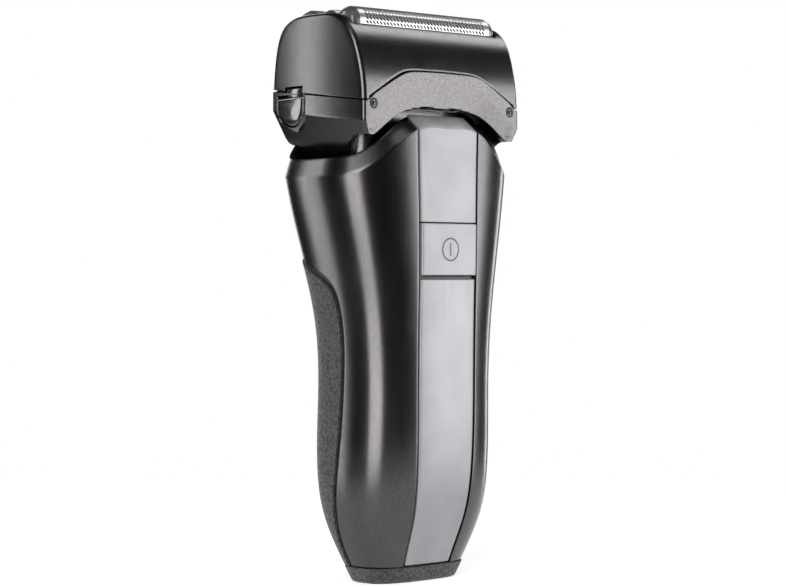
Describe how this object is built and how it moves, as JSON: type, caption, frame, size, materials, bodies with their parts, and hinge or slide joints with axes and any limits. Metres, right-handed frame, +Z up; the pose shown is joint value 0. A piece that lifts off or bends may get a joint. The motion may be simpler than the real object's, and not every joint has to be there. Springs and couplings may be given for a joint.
{
  "type": "foil shaver",
  "caption": "Cordless handheld foil shaver with a tilting head, floating foils, release buttons, a power key and a charging inlet in the foot.",
  "frame": {"origin": "on the base face, under the middle of the handle, 1.6 mm in front of the centre of the charging pins", "axes": "+Z up along the handle towards the foils, -Y out of the front strip and the power key, +X to the right of someone facing the front"},
  "size_m": [0.0676, 0.0449, 0.161],
  "materials": {
    "housing_plastic": "satin metallic gunmetal paint on ABS",
    "panel_silver": "satin silver-grey",
    "grip_elastomer": "grained soft-touch elastomer",
    "black_plastic": "fine matt",
    "gloss_black": "polished",
    "inner_plastic": "moulded",
    "foil_steel": "etched and polished",
    "blade_steel": "ground",
    "screw_steel": "zinc plated",
    "contact_brass": "gold plated",
    "seal_rubber": "matt",
    "board": "solder mask",
    "component": "moulded epoxy",
    "cell_wrap": "shrink sleeve",
    "copper": "enamelled copper wire",
    "magnet": "nickel plated",
    "motor_steel": "pressed",
    "cap_plastic": "smoke grey"
  },
  "bodies": {
    "handle": {"main_housing": "housing_plastic", "rear_cover": "black_plastic", "rear_grip": "grip_elastomer", "strip_carrier": "black_plastic", "upper_panel": "panel_silver", "lower_panel": "panel_silver", "base_cap": "grip_elastomer", "control_board": "board", "tact_switch": "component", "switch_seal": "seal_rubber", "board_components": "component", "chassis": "inner_plastic", "battery_cell": "cell_wrap", "battery_tabs": "screw_steel", "charging_socket": "black_plastic", "charging_pins": "contact_brass", "socket_gasket": "seal_rubber", "base_screws": "screw_steel", "tilt_brackets": "inner_plastic", "tilt_pins": "screw_steel", "tilt_springs": "blade_steel", "neck_seal": "seal_rubber"},
    "power_key": {"power_button": "panel_silver"},
    "head": {"head_base": "housing_plastic", "frame_catch_pins": "gloss_black", "release_spring_left": "blade_steel", "release_spring_right": "blade_steel", "motor_case": "motor_steel", "motor_core": "motor_steel", "motor_coil": "copper", "drive_seals": "seal_rubber"},
    "release_left": {"release_button_left": "gloss_black"},
    "release_right": {"release_button_right": "gloss_black"},
    "frame": {"foil_frame": "housing_plastic"},
    "front_cassette": {"front_foil": "foil_steel", "front_foil_caps": "cap_plastic"},
    "middle_cassette": {"middle_foil": "foil_steel", "middle_foil_caps": "cap_plastic"},
    "rear_cassette": {"rear_foil": "foil_steel", "rear_foil_caps": "cap_plastic"},
    "front_drive": {"front_mover": "inner_plastic", "front_magnets": "magnet", "front_yoke": "motor_steel", "front_drive_pin": "blade_steel", "trimmer_drive_pin": "blade_steel", "front_blade_spring": "blade_steel"},
    "rear_drive": {"rear_mover": "inner_plastic", "rear_magnets": "magnet", "rear_yoke": "motor_steel", "rear_drive_pin": "blade_steel", "rear_blade_spring": "blade_steel"},
    "front_blade": {"front_inner_blade": "blade_steel", "front_blade_holder": "inner_plastic"},
    "middle_blade": {"middle_inner_blade": "blade_steel", "middle_blade_holder": "inner_plastic"},
    "rear_blade": {"rear_inner_blade": "blade_steel", "rear_blade_holder": "inner_plastic"}
  },
  "joints": [
    {"name": "head_tilt", "type": "hinge", "parent": "handle", "child": "head", "pos_m": [0, 0.0012, 0.112], "axis": [1, 0, 0], "range_deg": [-3, 3], "stiffness_Nm_per_rad": 1, "deforming": ["tilt_springs", "neck_seal"]},
    {"name": "power_press", "type": "slide", "parent": "handle", "child": "power_key", "axis": [0, 1, 0], "range_m": [0, 0.0006], "stiffness_N_per_m": 900},
    {"name": "frame_lift", "type": "slide", "parent": "head", "child": "frame", "axis": [0, 0, 1], "range_m": [0, 0.028]},
    {"name": "release_left_press", "type": "slide", "parent": "head", "child": "release_left", "axis": [1, 0, 0], "range_m": [0, 0.0015], "stiffness_N_per_m": 600, "deforming": ["release_spring_left"]},
    {"name": "release_right_press", "type": "slide", "parent": "head", "child": "release_right", "axis": [-1, 0, 0], "range_m": [0, 0.0015], "stiffness_N_per_m": 600, "deforming": ["release_spring_right"]},
    {"name": "front_float", "type": "slide", "parent": "frame", "child": "front_cassette", "axis": [0, 0, -1], "range_m": [0, 0.0015], "stiffness_N_per_m": 500},
    {"name": "middle_float", "type": "slide", "parent": "frame", "child": "middle_cassette", "axis": [0, 0, -1], "range_m": [0, 0.0015], "stiffness_N_per_m": 500},
    {"name": "rear_float", "type": "slide", "parent": "frame", "child": "rear_cassette", "axis": [0, 0, -1], "range_m": [0, 0.0015], "stiffness_N_per_m": 500},
    {"name": "front_drive_slide", "type": "slide", "parent": "head", "child": "front_drive", "axis": [1, 0, 0], "range_m": [-0.0012, 0.0012]},
    {"name": "rear_drive_slide", "type": "slide", "parent": "head", "child": "rear_drive", "axis": [1, 0, 0], "range_m": [-0.0012, 0.0012]},
    {"name": "front_blade_float", "type": "slide", "parent": "front_drive", "child": "front_blade", "axis": [0, 0, -1], "range_m": [0, 0.0015], "deforming": ["front_blade_spring"]},
    {"name": "middle_blade_float", "type": "slide", "parent": "front_drive", "child": "middle_blade", "axis": [0, 0, -1], "range_m": [0, 0.0015]},
    {"name": "rear_blade_float", "type": "slide", "parent": "rear_drive", "child": "rear_blade", "axis": [0, 0, -1], "range_m": [0, 0.0015], "deforming": ["rear_blade_spring"]}
  ],
  "couplings": [
    {"joint": "rear_drive_slide", "follows": "front_drive_slide", "ratio": -1},
    {"joint": "front_blade_float", "follows": "front_float", "ratio": 1},
    {"joint": "middle_blade_float", "follows": "middle_float", "ratio": 1},
    {"joint": "rear_blade_float", "follows": "rear_float", "ratio": 1}
  ]
}
